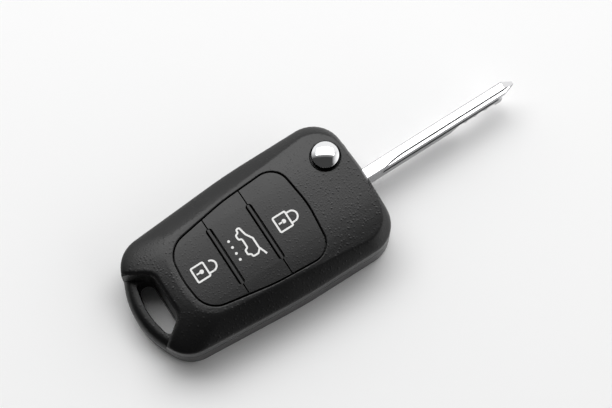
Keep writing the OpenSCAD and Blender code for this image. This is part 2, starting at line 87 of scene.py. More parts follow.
def roundedPath(corners, steps=10, between=0, closed=True):
    bm = bmesh.new()
    runs = []
    for i, (x, y, radius) in enumerate(corners):
        corner = Vector((x, y, 0))
        if radius == 0:
            runs.append([corner])
            continue
        back = (Vector((*corners[i - 1][:2], 0)) - corner).normalized()
        ahead = (Vector((*corners[(i + 1) % len(corners)][:2], 0)) - corner).normalized()
        half = back.angle(ahead) / 2
        centre = corner + (back + ahead).normalized() * radius / math.sin(half)
        turn = math.copysign(math.pi - 2 * half, ahead.cross(back).z)
        first = len(bm.verts)
        start = bm.verts.new(corner + back * radius / math.tan(half))
        bmesh.ops.spin(bm, geom=[start], cent=centre, axis=(0, 0, 1), angle=turn, steps=steps, use_duplicate=False)
        bm.verts.ensure_lookup_table()
        runs.append([v.co.copy() for v in bm.verts[first:]])
    bm.free()
    path = []
    for run, nextRun in zip(runs, runs[1:] + runs[:1]):
        path += run
        path += [run[-1].lerp(nextRun[0], (k + 1) / (between + 1)) for k in range(between)]
    return path if closed else path[:len(path) - between]


def boxCorners(x0, x1, y0, y1, radius):
    return [(x0, y0, radius), (x1, y0, radius), (x1, y1, radius), (x0, y1, radius)]


def atHeight(path, z):
    return [Vector((p.x, p.y, z)) for p in path]


# One face is drawn up from ring to ring
def loft(rings):
    bm = bmesh.new()
    place = bm.verts.layers.int.new("place")
    for i, point in enumerate(rings[0]):
        bm.verts.new(point)[place] = i
    bottom = face = bm.faces.new(list(bm.verts))
    for ring in rings[1:]:
        grown = bmesh.ops.extrude_face_region(bm, geom=[face])["geom"]
        if face != bottom:
            bmesh.ops.delete(bm, geom=[face], context="FACES_ONLY")
        face = next(g for g in grown if isinstance(g, bmesh.types.BMFace))
        for v in face.verts:
            v.co = ring[v[place]]
    bmesh.ops.recalc_face_normals(bm, faces=bm.faces)
    return bm


def prism(path, low, high):
    return loft([atHeight(path, low), atHeight(path, high)])


def post(x, y, diameter, low, high, segments=64):
    bm = bmesh.new()
    bmesh.ops.create_cone(bm, cap_ends=True, segments=segments, radius1=diameter / 2, radius2=diameter / 2,
                          depth=high - low, matrix=Matrix.Translation((x, y, (low + high) / 2)))
    return bm


def block(low, high):
    low, high = Vector(low), Vector(high)
    place = Matrix.Translation((low + high) / 2) @ Matrix.Diagonal((*(high - low), 1))
    bm = bmesh.new()
    bmesh.ops.create_cube(bm, size=1, matrix=place)
    return bm


# Corners are (distance from the axis, height, radius)
def turned(corners, x, y, steps=8, segments=96):
    bm = bmesh.new()
    chain = [bm.verts.new((x + p.x, y, p.y)) for p in roundedPath(corners, steps, closed=False)]
    edges = [bm.edges.new(pair) for pair in zip(chain, chain[1:])]
    bmesh.ops.spin(bm, geom=chain + edges, cent=(x, y, 0), axis=(0, 0, 1), angle=math.tau, steps=segments,
                   use_merge=True, use_duplicate=False)
    bmesh.ops.remove_doubles(bm, verts=bm.verts, dist=weld)
    bmesh.ops.recalc_face_normals(bm, faces=bm.faces)
    return bm


def bevelled(bm, edges, width, segments):
    bmesh.ops.bevel(bm, geom=edges, offset=width, offset_type="OFFSET", affect="EDGES", segments=segments,
                    profile=0.5, material=-1, clamp_overlap=True)
    return bm


def softened(bm, width, angle=30, segments=2):
    sharp = math.radians(angle)
    edges = [e for e in bm.edges if len(e.link_faces) == 2 and e.calc_face_angle() > sharp]
    return bevelled(bm, edges, width, segments)


def copyOf(node, flat=1):
    bm = bmesh.new()
    bm.from_mesh(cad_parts[node].data)
    bmesh.ops.scale(bm, vec=(1 / mm,) * 3, verts=bm.verts)
    bmesh.ops.remove_doubles(bm, verts=bm.verts, dist=nearly)
    bmesh.ops.dissolve_limit(bm, angle_limit=math.radians(flat), verts=bm.verts, edges=bm.edges)
    bmesh.ops.recalc_face_normals(bm, faces=bm.faces)
    return bm


def meshOf(name, bm):
    mesh = bpy.data.meshes.new(name)
    bm.to_mesh(mesh)
    bm.free()
    return mesh


def inScene(name, data):
    obj = bpy.data.objects.new(name, data)
    scene.collection.objects.link(obj)
    return obj


def joined(*parts):
    bm = bmesh.new()
    for part in parts:
        mesh = meshOf("joining", part)
        bm.from_mesh(mesh)
        bpy.data.meshes.remove(mesh)
    return bm


def cut(shape):
    return "DIFFERENCE", shape


def add(shape):
    return "UNION", shape


def keep(shape):
    return "INTERSECT", shape


def carved(bm, *steps):
    work = inScene("carving", meshOf("carving", bm))
    helpers = [work]
    for operation, shape in steps:
        helpers.append(inScene("cutter", meshOf("cutter", shape)))
        step = work.modifiers.new("cut", "BOOLEAN")
        step.operation, step.object, step.solver = operation, helpers[-1], "EXACT"
    result = bpy.data.meshes.new_from_object(work.evaluated_get(bpy.context.evaluated_depsgraph_get()))
    for helper in helpers:
        data = helper.data
        bpy.data.objects.remove(helper)
        bpy.data.meshes.remove(data)
    out = bmesh.new()
    out.from_mesh(result)
    bpy.data.meshes.remove(result)
    bmesh.ops.remove_doubles(out, verts=out.verts, dist=weld)
    bmesh.ops.dissolve_degenerate(out, edges=out.edges, dist=weld)
    return out


def piece(name, bm, body, slot, material, *nodes, sharp=32):
    bmesh.ops.scale(bm, vec=(mm,) * 3, verts=bm.verts)
    mesh = meshOf(name, bm)
    mesh.shade_smooth()
    mesh.set_sharp_from_angle(angle=math.radians(sharp))
    mesh.materials.append(material)
    obj = inScene(name, mesh)
    weighted = obj.modifiers.new("even shading", "WEIGHTED_NORMAL")
    weighted.keep_sharp = True
    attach(obj, body)
    if nodes:
        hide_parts(*nodes)
    print("piece", name, len(mesh.polygons), "faces")
    return obj


# Shader tools: a value is a number, a colour or another node's socket
def feed(tree, socket, value):
    if isinstance(value, bpy.types.NodeSocket):
        tree.links.new(value, socket)
    else:
        socket.default_value = value


def mathNode(tree, operation, first, second=0):
    node = tree.nodes.new("ShaderNodeMath")
    node.operation = operation
    for socket, value in zip(node.inputs, (first, second)):
        feed(tree, socket, value)
    return node.outputs[0]


def vectorNode(tree, operation, first, second):
    node = tree.nodes.new("ShaderNodeVectorMath")
    node.operation = operation
    for socket, value in zip(node.inputs, (first, second)):
        feed(tree, socket, value)
    return node.outputs


def noiseNode(tree, vector, scale, detail, roughness):
    node = tree.nodes.new("ShaderNodeTexNoise")
    for label, value in (("Vector", vector), ("Scale", scale), ("Detail", detail), ("Roughness", roughness)):
        feed(tree, node.inputs[label], value)
    return node.outputs["Fac"]


def rangeNode(tree, value, low, high, newLow=0, newHigh=1):
    node = tree.nodes.new("ShaderNodeMapRange")
    for socket, part in zip(node.inputs, (value, low, high, newLow, newHigh)):
        feed(tree, socket, part)
    return node.outputs["Result"]


def bumpNode(tree, strength, height, distance):
    node = tree.nodes.new("ShaderNodeBump")
    for label, value in (("Strength", strength), ("Height", height), ("Distance", distance)):
        feed(tree, node.inputs[label], value)
    return node.outputs["Normal"]


def split(tree, vector):
    node = tree.nodes.new("ShaderNodeSeparateXYZ")
    tree.links.new(vector, node.inputs["Vector"])
    return node.outputs


# Shared effects
effects = {
    "grainEdge": (0.08, 0.42), "grainHeight": 0.0001, "fineScale": 2.3, "fineShare": 0.5, "fineNoise": (2, 0.5),
    "touchNoise": (4, 0.55), "touchEdge": (0.32, 0.68),
    "brushNoise": (3, 0.6), "brushEdge": (0.3, 0.7), "brushHeight": 0.00005,
}


def group(name, inputs, outputs):
    tree = bpy.data.node_groups.new(name, "ShaderNodeTree")
    for side, labels in (("INPUT", inputs), ("OUTPUT", outputs)):
        for label in labels:
            kind = "NodeSocketVector" if label in ("Vector", "Stretch", "Normal") else "NodeSocketFloat"
            tree.interface.new_socket(label, in_out=side, socket_type=kind)
    return tree, tree.nodes.new("NodeGroupInput").outputs, tree.nodes.new("NodeGroupOutput").inputs


# Rounded grains of uneven height, with a finer roughness over them
def grainGroup():
    tree, given, made = group("mouldGrain", ["Vector", "Scale", "Depth"], ["Normal"])
    cells = tree.nodes.new("ShaderNodeTexVoronoi")
    tree.links.new(given["Vector"], cells.inputs["Vector"])
    tree.links.new(given["Scale"], cells.inputs["Scale"])
    rounded = rangeNode(tree, cells.outputs["Distance"], *effects["grainEdge"], 1, 0)
    grains = mathNode(tree, "MULTIPLY", rounded, split(tree, cells.outputs["Color"])["X"])
    fineScale = mathNode(tree, "MULTIPLY", given["Scale"], effects["fineScale"])
    fine = noiseNode(tree, given["Vector"], fineScale, *effects["fineNoise"])
    height = mathNode(tree, "ADD", grains, mathNode(tree, "MULTIPLY", fine, effects["fineShare"]))
    tree.links.new(bumpNode(tree, given["Depth"], height, effects["grainHeight"]), made["Normal"])
    return tree


# Broad patches where hands have rubbed the surface
def handlingGroup():
    tree, given, made = group("handling", ["Vector", "Scale", "Low", "High"], ["Value", "Mask"])
    broad = noiseNode(tree, given["Vector"], given["Scale"], *effects["touchNoise"])
    mask = rangeNode(tree, broad, *effects["touchEdge"])
    tree.links.new(mask, made["Mask"])
    tree.links.new(rangeNode(tree, mask, 0, 1, given["Low"], given["High"]), made["Value"])
    return tree


# Fine lines along the direction that Stretch leaves long
def brushedGroup():
    tree, given, made = group("brushed", ["Vector", "Stretch", "Depth", "Low", "High"], ["Normal", "Value"])
    stretched = vectorNode(tree, "MULTIPLY", given["Vector"], given["Stretch"])["Vector"]
    lines = noiseNode(tree, stretched, 1, *effects["brushNoise"])
    tree.links.new(bumpNode(tree, given["Depth"], lines, effects["brushHeight"]), made["Normal"])
    tree.links.new(rangeNode(tree, lines, *effects["brushEdge"], given["Low"], given["High"]), made["Value"])
    return tree


grain, handling, brushed = grainGroup(), handlingGroup(), brushedGroup()


def useGroup(tree, shared, vector, **values):
    node = tree.nodes.new("ShaderNodeGroup")
    node.node_tree = shared
    tree.links.new(vector, node.inputs["Vector"])
    for label, value in values.items():
        node.inputs[label].default_value = value
    return node.outputs


# Materials
def newMaterial(name, colour, metal=0, specular=0.5):
    material = bpy.data.materials.new(name)
    material.use_nodes = True
    tree = material.node_tree
    shader = tree.nodes["Principled BSDF"].inputs
    shader["Base Color"].default_value = (*colour, 1)
    shader["Metallic"].default_value = metal
    shader["Specular IOR Level"].default_value = specular
    return material, tree, shader, tree.nodes.new("ShaderNodeTexCoord").outputs


def toneMix(tree, shader, mask, dark, light):
    mix = tree.nodes.new("ShaderNodeMix")
    mix.data_type = "RGBA"
    for label, tone in (("A", dark), ("B", light)):
        feed(tree, mix.inputs[label], tone if isinstance(tone, bpy.types.NodeSocket) else (*tone, 1))
    tree.links.new(mask, mix.inputs["Factor"])
    tree.links.new(mix.outputs["Result"], shader["Base Color"])
    return mix.outputs["Result"]


def moulded(name, dark, light, rough, grainScale, grainDepth, smudge=60, specular=0.5):
    material, tree, shader, place = newMaterial(name, dark, specular=specular)
    surface = useGroup(tree, grain, place["Object"], Scale=grainScale, Depth=grainDepth)
    touch = useGroup(tree, handling, place["Object"], Scale=smudge, Low=rough[0], High=rough[1])
    toneMix(tree, shader, touch["Mask"], dark, light)
    tree.links.new(touch["Value"], shader["Roughness"])
    tree.links.new(surface["Normal"], shader["Normal"])
    return material


def metal(name, dark, light, rough, stretch, depth, smudge=70):
    material, tree, shader, place = newMaterial(name, dark, metal=1)
    lines = useGroup(tree, brushed, place["Object"], Stretch=stretch, Depth=depth, Low=rough[0], High=rough[1])
    touch = useGroup(tree, handling, place["Object"], Scale=smudge)
    toneMix(tree, shader, touch["Mask"], dark, light)
    tree.links.new(lines["Value"], shader["Roughness"])
    tree.links.new(lines["Normal"], shader["Normal"])
    return material


# The blade's tones go by where a face points and how deep it lies, in metres: the sideways faces take a darker tone,
# partly their milled finish and partly painted shade, the groove's floor takes painted shade, and the round along the
# far top edge takes a painted dark line
bladeTones = {
    "polished": (0.8, 0.8, 0.81), "milled": (0.45, 0.45, 0.46), "groove": (0.07, 0.07, 0.072),
    "edge": (0.16, 0.16, 0.165), "rough": (0.12, 0.24), "milledRough": 0.2, "stretch": (60, 2400, 2400), "depth": 0.1,
    "sideways": (0.25, 0.6), "sunkShade": (0.0012, 0.0009), "edgeShadeFar": (0.15, 0.35), "edgeShadeUp": (0.1, 0.3),
}


def bladeFinish():
    look = bladeTones
    material, tree, shader, place = newMaterial("bladeNickel", look["polished"], metal=1)
    low, high = look["rough"]
    lines = useGroup(tree, brushed, place["Object"], Stretch=look["stretch"], Depth=look["depth"], Low=low, High=high)
    facing, spot = split(tree, place["Normal"]), split(tree, place["Object"])
    # Sideways faces: milled and rougher, and darkened with painted shade
    side = rangeNode(tree, mathNode(tree, "ABSOLUTE", facing["Y"]), *look["sideways"])
    # Depth inside the groove, where painted shade goes
    sunkShade = rangeNode(tree, mathNode(tree, "ABSOLUTE", spot["Y"]), *look["sunkShade"])
    # Faces on the far top edge's round, where a painted dark line goes
    edgeShade = mathNode(tree, "MULTIPLY", rangeNode(tree, facing["Y"], *look["edgeShadeFar"]),
                     rangeNode(tree, facing["Z"], *look["edgeShadeUp"]))
    # Darker tone on the sides: partly the milled finish, partly painted shade
    tone = toneMix(tree, shader, side, look["polished"], look["milled"])
    # Painted shade on the groove's floor
    tone = toneMix(tree, shader, mathNode(tree, "MULTIPLY", side, sunkShade), tone, look["groove"])
    # Painted shade: a dark line along the far top edge
    toneMix(tree, shader, edgeShade, tone, look["edge"])
    milled = mathNode(tree, "MULTIPLY", side, look["milledRough"])
    tree.links.new(mathNode(tree, "ADD", lines["Value"], milled), shader["Roughness"])
    tree.links.new(lines["Normal"], shader["Normal"])
    return material


blackTones = {
    "dark": (0.0018, 0.0018, 0.002), "light": (0.0024, 0.0024, 0.0026), "rough": (0.33, 0.38), "specular": 0.45,
}
caseBlack = moulded("caseBlack", grainScale=1300, grainDepth=0.42, **blackTones)
keyBlack = moulded("keyBlack", grainScale=1500, grainDepth=0.22, **blackTones)
siliconeBlack = moulded("siliconeBlack", dark=(0.003, 0.003, 0.003), light=(0.004, 0.004, 0.004), rough=(0.42, 0.5),
                        grainScale=5000, grainDepth=0.06)
hubPlastic = moulded("hubPlastic", dark=(0.012, 0.012, 0.013), light=(0.016, 0.016, 0.017), rough=(0.36, 0.46),
                     grainScale=3600, grainDepth=0.1)
sealRubber = moulded("sealRubber", dark=(0.008, 0.008, 0.008), light=(0.012, 0.012, 0.012), rough=(0.6, 0.75),
                     grainScale=4000, grainDepth=0.1)
chipBlack = moulded("chipBlack", dark=(0.014, 0.014, 0.015), light=(0.022, 0.022, 0.023), rough=(0.5, 0.65),
                    grainScale=5200, grainDepth=0.1)
boardGreen = moulded("boardGreen", dark=(0.008, 0.075, 0.03), light=(0.014, 0.11, 0.05), rough=(0.24, 0.34),
                     grainScale=1500, grainDepth=0.05, smudge=220)
signWhite = moulded("signWhite", dark=(0.78, 0.78, 0.77), light=(0.84, 0.84, 0.83), rough=(0.4, 0.5),
                    grainScale=4000, grainDepth=0.05)
chrome = metal("chrome", dark=(0.86, 0.87, 0.88), light=(0.92, 0.92, 0.93), rough=(0.05, 0.09),
               stretch=(700, 700, 700), depth=0.01)
bladeNickel = bladeFinish()
steel = metal("steel", dark=(0.5, 0.5, 0.52), light=(0.62, 0.62, 0.63), rough=(0.22, 0.36),
              stretch=(900, 900, 900), depth=0.06)
cellSteel = metal("cellSteel", dark=(0.62, 0.62, 0.63), light=(0.72, 0.72, 0.73), rough=(0.2, 0.34),
                  stretch=(1800, 80, 80), depth=0.08)
coilCopper = metal("coilCopper", dark=(0.5, 0.21, 0.09), light=(0.66, 0.32, 0.16), rough=(0.25, 0.4),
                   stretch=(300, 300, 3800), depth=0.3)
contactGold = metal("contactGold", dark=(0.72, 0.52, 0.2), light=(0.82, 0.64, 0.3), rough=(0.2, 0.32),
                    stretch=(1200, 120, 1200), depth=0.06)
print("materials made")


# Case: both shells share one outline that tapers to the keyring end, and the top falls a little to its sides
case = {
    "ringWidth": 31.3, "corner": 8, "shoulder": 3.6, "baseRound": 1.5, "baseSteps": 8, "waistX": 4, "waistBow": 0.05,
    "sideRadius": 150, "bladeRake": 0.95, "bladeBow": 80, "ringRake": 7.35, "ringBow": 22, "seam": 0.13, "crease": 0.4,
    "topInsetEnd": 1.2, "topInsetCorner": 2.1, "topInsetWaist": 4.8, "topMargin": 1.7, "topMarginSide": 2.1,
    "topBladeBow": 0.1, "topRingBow": 0.9, "topRingRake": 2.3, "topCorner": 7, "topWaist": 50, "topRingCorner": 6.5,
    "steps": 14, "between": 4, "fullness": 0.556, "lead": 1.15,
    "crownDrop": 1.15, "crownSpan": 16, "crownStep": 2, "crownPower": 3, "coverRound": 0.15,
}
# Opening for the keys
pad = {
    "bladeMargin": 16.7, "ringMargin": 14.55, "bladeWidth": 25.4, "ringWidth": 17.6, "gap": 0.35, "bladeRake": 1.4,
    "ringRake": 1, "endBow": 26, "bladeCorner": 4.75, "ringCorner": 6, "waistShare": 0.52, "waistFull": 0.764,
    "waistRadius": 50, "floor": 12.6, "flare": 0.3, "flareSteps": 5,
}
padBlade, padRing = bladeEnd - pad["bladeMargin"], ringEnd + pad["ringMargin"]
# Keyring slot and its bar
ring = {
    "bar": 3.4, "slotWidth": 4.65, "slotLength": 14.8, "rake": 1.6, "outerCorner": 1.7, "innerCorner": 1.9,
    "round": 0.35, "lowRound": 0.2, "roundSteps": 5, "barRound": 2.5, "barBelow": 0.4, "barSteps": 10,
    "barSegments": 160,
}
# Hollow over the slot, with a rolled edge
scoop = {
    "gap": 0.15, "halfMouth": 5.6, "rake": 0.75, "length": 14, "corner": 2.5, "outerCorner": 1, "cornerSteps": 12,
    "flare": 0.7, "sideFlare": 0.3, "over": 13, "steps": 48, "roll": 1.1, "lean": 0.09, "fade": 4, "cell": 0.4,
    "blendTo": -19.5, "upward": 0.08, "probe": 5,
}
# Rooms for the electronics, the turning head and the folded blade
room = {
    "cavity": (-21.05, 14.475, -14.5, 12.65), "cavityCorner": 3, "cavitySteps": 6, "cavityTop": 12.9, "floor": 2.2,
    "slotLow": 2.7, "slotHigh": 11.1, "slotFrom": 14.05, "mouthFrom": -1.75, "foldTip": -24.025, "foldGap": 1.4,
    "chamber": 10.75, "collar": 12.1, "collarTop": 12.1, "segments": 96, "seat": 4.4, "seatTop": 4.5,
    "buttonGap": 0.42, "buttonFlare": 0.3, "past": 2,
}
# Screw posts at three corners, and the battery's well
fastening = {
    "boss": 4.8, "inset": 2.1, "hole": 2.1, "head": 4, "headTop": 1.9, "top": 12.1, "bossSegments": 32,
    "holeSegments": 24,
}
well = {"bore": 20.6, "wall": 1, "top": 9, "cover": 23.1, "coverTop": 1.6, "coverSegments": 96}


# How far a bow's corner lies outside the arc that rounds it
def bowLift(rake, radius, halfSpan):
    return radius * (1 / math.cos(math.atan(rake / halfSpan)) - 1)


def bothSides(front, side, back):
    return [front, *side, back, *[(x, -y, r) for x, y, r in reversed(side)]]


def caseCorners(inset):
    front, back = halfWidth - inset, case["ringWidth"] / 2 - inset
    bladeX = bladeEnd - inset + bowLift(case["bladeRake"], case["bladeBow"], front)
    ringX = ringEnd + inset - bowLift(case["ringRake"], case["ringBow"], back)
    side = [(bladeX - case["bladeRake"], front, case["corner"] - inset),
            (case["waistX"], front - case["waistBow"], case["sideRadius"]),
            (ringX + case["ringRake"], back, case["corner"] - inset)]
    return bothSides((bladeX, 0, case["bladeBow"]), side, (ringX, 0, case["ringBow"]))


def caseRing(inset, z):
    return atHeight(roundedPath(caseCorners(inset), between=case["between"]), z)


def topCorners():
    bladeX, ringX = bladeEnd - case["topInsetEnd"], padRing - case["topMargin"] - case["topRingBow"]
    side = [(bladeX - case["bladeRake"], halfWidth - case["topInsetCorner"], case["topCorner"]),
            (case["waistX"], halfWidth - case["topInsetWaist"], case["topWaist"]),
            (ringX + case["topRingRake"], pad["ringWidth"] / 2 + case["topMarginSide"], case["topRingCorner"])]
    return bothSides((bladeX + case["topBladeBow"], 0, case["bladeBow"]), side, (ringX, 0, pad["endBow"]))


def padCorners(grow):
    front, back = pad["bladeWidth"] / 2 + grow, pad["ringWidth"] / 2 + grow
    bladeX = padBlade + grow + bowLift(pad["bladeRake"], pad["endBow"], front)
    ringX = padRing - grow - bowLift(pad["ringRake"], pad["endBow"], back)
    waistX = padRing + pad["waistShare"] * (padBlade - padRing)
    side = [(bladeX - pad["bladeRake"], front, pad["bladeCorner"] + grow),
            (waistX, back + pad["waistFull"] * (front - back), pad["waistRadius"]),
            (ringX + pad["ringRake"], back, pad["ringCorner"] + grow)]
    return bothSides((bladeX, 0, pad["endBow"]), side, (ringX, 0, pad["endBow"]))


def slotCorners(grow):
    outer = ringEnd + ring["bar"] - grow
    inner = outer + ring["slotWidth"] + 2 * grow
    half = ring["slotLength"] / 2 + grow
    bow = case["ringBow"] - ring["bar"] + grow
    outer -= bowLift(ring["rake"], bow, half)
    return [(inner, -half, ring["innerCorner"] + grow), (inner, half, ring["innerCorner"] + grow),
            (outer + ring["rake"], half, ring["outerCorner"] + grow), (outer, 0, bow),
            (outer + ring["rake"], -half, ring["outerCorner"] + grow)]


def scoopCorners(z):
    share = max(0, (z - seamZ) / (caseTop - seamZ))
    grow = scoop["flare"] * share
    x = ringEnd + ring["bar"] + ring["slotWidth"] + scoop["gap"] + grow
    y = scoop["halfMouth"] + scoop["sideFlare"] * share
    outerX, outerY = x - scoop["length"], y + scoop["length"] * scoop["rake"]
    radius, outerRadius = scoop["corner"] + grow, scoop["outerCorner"]
    return [(x, -y, radius), (x, y, radius), (outerX, outerY, outerRadius), (outerX, -outerY, outerRadius)]


def scoopPath(z):
    return roundedPath(scoopCorners(z), scoop["cornerSteps"])


def shoulderDrop(share):
    return case["shoulder"] * (1 - max(0, 1 - share ** case["lead"]) ** case["fullness"])


# Falls to the sides above the blade's slot, so the room below keeps its height
def crowned(bm):
    y = -case["crownSpan"]
    while y <= case["crownSpan"]:
        bmesh.ops.bisect_plane(bm, geom=bm.verts[:] + bm.edges[:] + bm.faces[:], dist=nearly,
                               plane_co=(0, y, 0), plane_no=(0, 1, 0))
        y += case["crownStep"]
    bmesh.ops.dissolve_degenerate(bm, dist=nearly, edges=bm.edges)
    for v in bm.verts:
        lift = min(1, max(0, (v.co.z - room["slotHigh"]) / (caseTop - room["slotHigh"])))
        v.co.z -= lift * case["crownDrop"] * abs(v.co.y / case["crownSpan"]) ** case["crownPower"]
    return bm


def hollowFaces(bm):
    return [f for f in bm.faces if f.normal.z > scoop["upward"]
            and any(v.co.x < scoop["blendTo"] and v.co.z > seamZ + over for v in f.verts)]


# The case's top rolls over into the hollow's wall
def blendedHollow(bm, outside, inside):
    bm.normal_update()
    for axis, start, stop in (((1, 0, 0), ringEnd, scoop["blendTo"]), ((0, 1, 0), -halfWidth, halfWidth)):
        for i in range(1, int((stop - start) / scoop["cell"])):
            faces = hollowFaces(bm)
            parts = {*faces, *(e for f in faces for e in f.edges), *(v for f in faces for v in f.verts)}
            place = Vector(axis) * (start + i * scoop["cell"])
            bmesh.ops.bisect_plane(bm, geom=list(parts), dist=nearly, plane_co=place, plane_no=axis)
            bm.normal_update()
    roll = scoop["roll"]
    for v in {v for f in hollowFaces(bm) for v in f.verts}:
        shoulder = outside.ray_cast((v.co.x, v.co.y, caseTop + scoop["probe"]), (0, 0, -1))[0]
        wall = inside.ray_cast((v.co.x, v.co.y, 0), (0, 0, 1))[0]
        if shoulder and wall:
            above = wall.z - shoulder.z
            if above > 0:
                v.co.z -= max(0, roll - above * scoop["lean"]) ** 2 / (2 * roll)
            else:
                v.co.z -= roll / 2 * max(0, 1 + above / scoop["fade"])
    return bm


def roomCuts():
    low, high, past = room["slotLow"], room["slotHigh"], room["past"]
    foldEnd, mouth = room["foldTip"] - room["foldGap"], halfWidth + past
    return [cut(post(pivot.x, pivot.y, 2 * room["chamber"], low, high, room["segments"])),
            cut(block((foldEnd, room["slotFrom"], low), (pivot.x, mouth, high))),
            cut(block((pivot.x, room["mouthFrom"], low), (bladeEnd + past, mouth, high)))]


def cavity(low, high):
    return cut(prism(roundedPath(boxCorners(*room["cavity"], room["cavityCorner"]), room["cavitySteps"]), low, high))


def screwPosts(diameter, low, high, segments):
    x0, x1, y0, y1 = room["cavity"]
    inset = fastening["inset"]
    places = [(x0 + inset, y0 + inset), (x0 + inset, y1 - inset), (x1 - inset, y0 + inset)]
    return [post(x, y, diameter, low, high, segments) for x, y in places]


def bosses(low, high):
    return [add(boss) for boss in screwPosts(fastening["boss"], low, high, fastening["bossSegments"])]


def screwHoles(low, high):
    return [cut(hole) for hole in screwPosts(fastening["hole"], low, high, fastening["holeSegments"])]


def keyOpening():
    def padRingAt(grow, z):
        return atHeight(roundedPath(padCorners(pad["gap"] + grow)), z)

    flare = pad["flare"]
    rings = [padRingAt(flare * (1 - math.cos(turn)), caseTop - flare * (1 - math.sin(turn)))
             for turn in quarterTurns(pad["flareSteps"])]
    return loft([padRingAt(0, pad["floor"]), *rings, padRingAt(flare, caseTop + over)])


def buttonHole():
    inner = buttonRadius + room["buttonGap"]
    outer = inner + room["buttonFlare"]
    return turned([(0, seamZ, 0), (inner, seamZ, 0), (inner, caseTop, room["buttonFlare"]), (outer, caseTop, 0),
                   (outer, caseTop + over, 0), (0, caseTop + over, 0)], pivot.x, pivot.y)


def scoopShape():
    rise = (caseTop + scoop["over"] - seamZ) / scoop["steps"]
    levels = [seamZ - over, *[seamZ + rise * i for i in range(scoop["steps"] + 1)]]
    return loft([atHeight(scoopPath(z), z) for z in levels])


def upperShell():
    rim = caseRing(0, seamZ + case["seam"])
    top = roundedPath(topCorners(), between=case["between"])
    rings = [caseRing(case["seam"], seamZ), rim]
    for turn in reversed(quarterTurns(case["steps"])):
        share = math.sin(turn)
        rings.append(atHeight([t.lerp(r, share) for t, r in zip(top, rim)], caseTop - shoulderDrop(share)))
    bm = loft(rings)
    plateau = max(bm.faces, key=lambda f: f.calc_center_median().z)
    bmesh.ops.inset_region(bm, faces=[plateau], thickness=case["crease"], use_even_offset=True)
    scooped = scoopShape()
    outside, inside = BVHTree.FromBMesh(bm), BVHTree.FromBMesh(scooped)
    collar = post(pivot.x, pivot.y, room["collar"], room["slotHigh"] - over, room["collarTop"], room["segments"])
    steps = [cavity(seamZ - over, room["cavityTop"]), *bosses(seamZ, room["cavityTop"] + lap), *roomCuts(),
             cut(keyOpening()), cut(collar), cut(buttonHole()), cut(scooped),
             *screwHoles(seamZ - over, fastening["top"])]
    return blendedHollow(carved(bm, *steps), outside, inside)


# Pairs of growth and height, from below the slot to above it
def slotProfile():
    low, high = ring["lowRound"], ring["round"]
    turns = quarterTurns(ring["roundSteps"])
    profile = [(low, -over)] + [(low * (1 - math.sin(t)), low * (1 - math.cos(t))) for t in turns]
    profile += [(high * (1 - math.cos(t)), seamZ - high * (1 - math.sin(t))) for t in turns]
    return profile + [(high, seamZ + over)]


def barRounding():
    bow, radius = case["ringBow"], ring["barRound"]
    inner, outer, high, low = bow - radius, bow + over, seamZ + over, seamZ - radius - ring["barBelow"]
    edge = turned([(inner, high, 0), (inner, seamZ, 0), (bow, seamZ, radius), (bow, low, 0), (outer, low, 0),
                   (outer, high, 0), (inner, high, 0)], ringEnd + bow, 0, ring["barSteps"], ring["barSegments"])
    return carved(edge, keep(prism(scoopPath(seamZ), seamZ - 3 * radius, seamZ + 2 * over)))


def lowerShell():
    base = case["baseRound"]
    rings = [caseRing(base * (1 - math.sin(t)), base * (1 - math.cos(t))) for t in quarterTurns(case["baseSteps"])]
    rings += [caseRing(0, seamZ - case["seam"]), caseRing(case["seam"], seamZ)]
    x, y, floor = cellPlace.x, cellPlace.y, room["floor"]
    slot = loft([atHeight(roundedPath(slotCorners(grow)), z) for grow, z in slotProfile()])
    steps = [cavity(floor, seamZ + over), *roomCuts(), *bosses(floor - lap, seamZ),
             add(post(x, y, well["bore"] + 2 * well["wall"], floor - lap, well["top"])),
             add(post(pivot.x, pivot.y, room["seat"], room["slotLow"] - lap, room["seatTop"])),
             cut(post(x, y, well["bore"], -over, well["top"] + over)),
             cut(post(x, y, well["cover"], -over, well["coverTop"], well["coverSegments"])),
             cut(slot), cut(barRounding())]
    heads = screwPosts(fastening["head"], -over, fastening["headTop"], fastening["bossSegments"])
    for hole, head in zip(screwHoles(-over, seamZ + over), heads):
        steps += [hole, cut(head)]
    return carved(loft(rings), *steps)


piece("upperCase", crowned(upperShell()), "case", "case_black", caseBlack, "upper_case")
piece("lowerCase", lowerShell(), "case", "case_black", caseBlack, "lower_case")
cover = softened(copyOf("battery_cover"), case["coverRound"])
piece("batteryCover", cover, "case", "case_black", caseBlack, "battery_cover")
print("case done")


# Keys: the pad is parted by two channels that hold the ribs
keys = {
    "capLow": 13.1, "top": 15, "lockShare": 0.347, "tailgateShare": 0.327, "gap": 0.3, "ribLength": 16, "channel": 1.7,
    "channelSteps": 8, "round": 0.28, "ribRound": 0.22, "roundAngle": 40, "roundSegments": 3,
    "plunger": 3, "plungerLow": 12, "plungerLap": 0.2, "plungerSegments": 32,
}
lockFrom = padBlade - keys["lockShare"] * (padBlade - padRing)
tailgateFrom = lockFrom - keys["tailgateShare"] * (padBlade - padRing)


def keyRounded(bm, width):
    return softened(bm, width, keys["roundAngle"], keys["roundSegments"])


def keyCap(x0, x1, stem, channels):
    gap, low, high = keys["gap"] / 2, keys["capLow"] - over, keys["top"] + over
    steps = [keep(block((x0 + gap, -halfWidth, low), (x1 - gap, halfWidth, high)))]
    half, width = keys["ribLength"] / 2, keys["channel"] / 2
    for x in channels:
        path = roundedPath(boxCorners(x - width, x + width, -half, half, width), keys["channelSteps"])
        steps.append(cut(prism(path, low, high)))
    cap = carved(prism(roundedPath(padCorners(0)), keys["capLow"], keys["top"]), *steps)
    plunger = post(middleOf(stem).x, 0, keys["plunger"], keys["plungerLow"], keys["capLow"] + keys["plungerLap"],
                   keys["plungerSegments"])
    return crowned(joined(keyRounded(cap, keys["round"]), plunger))


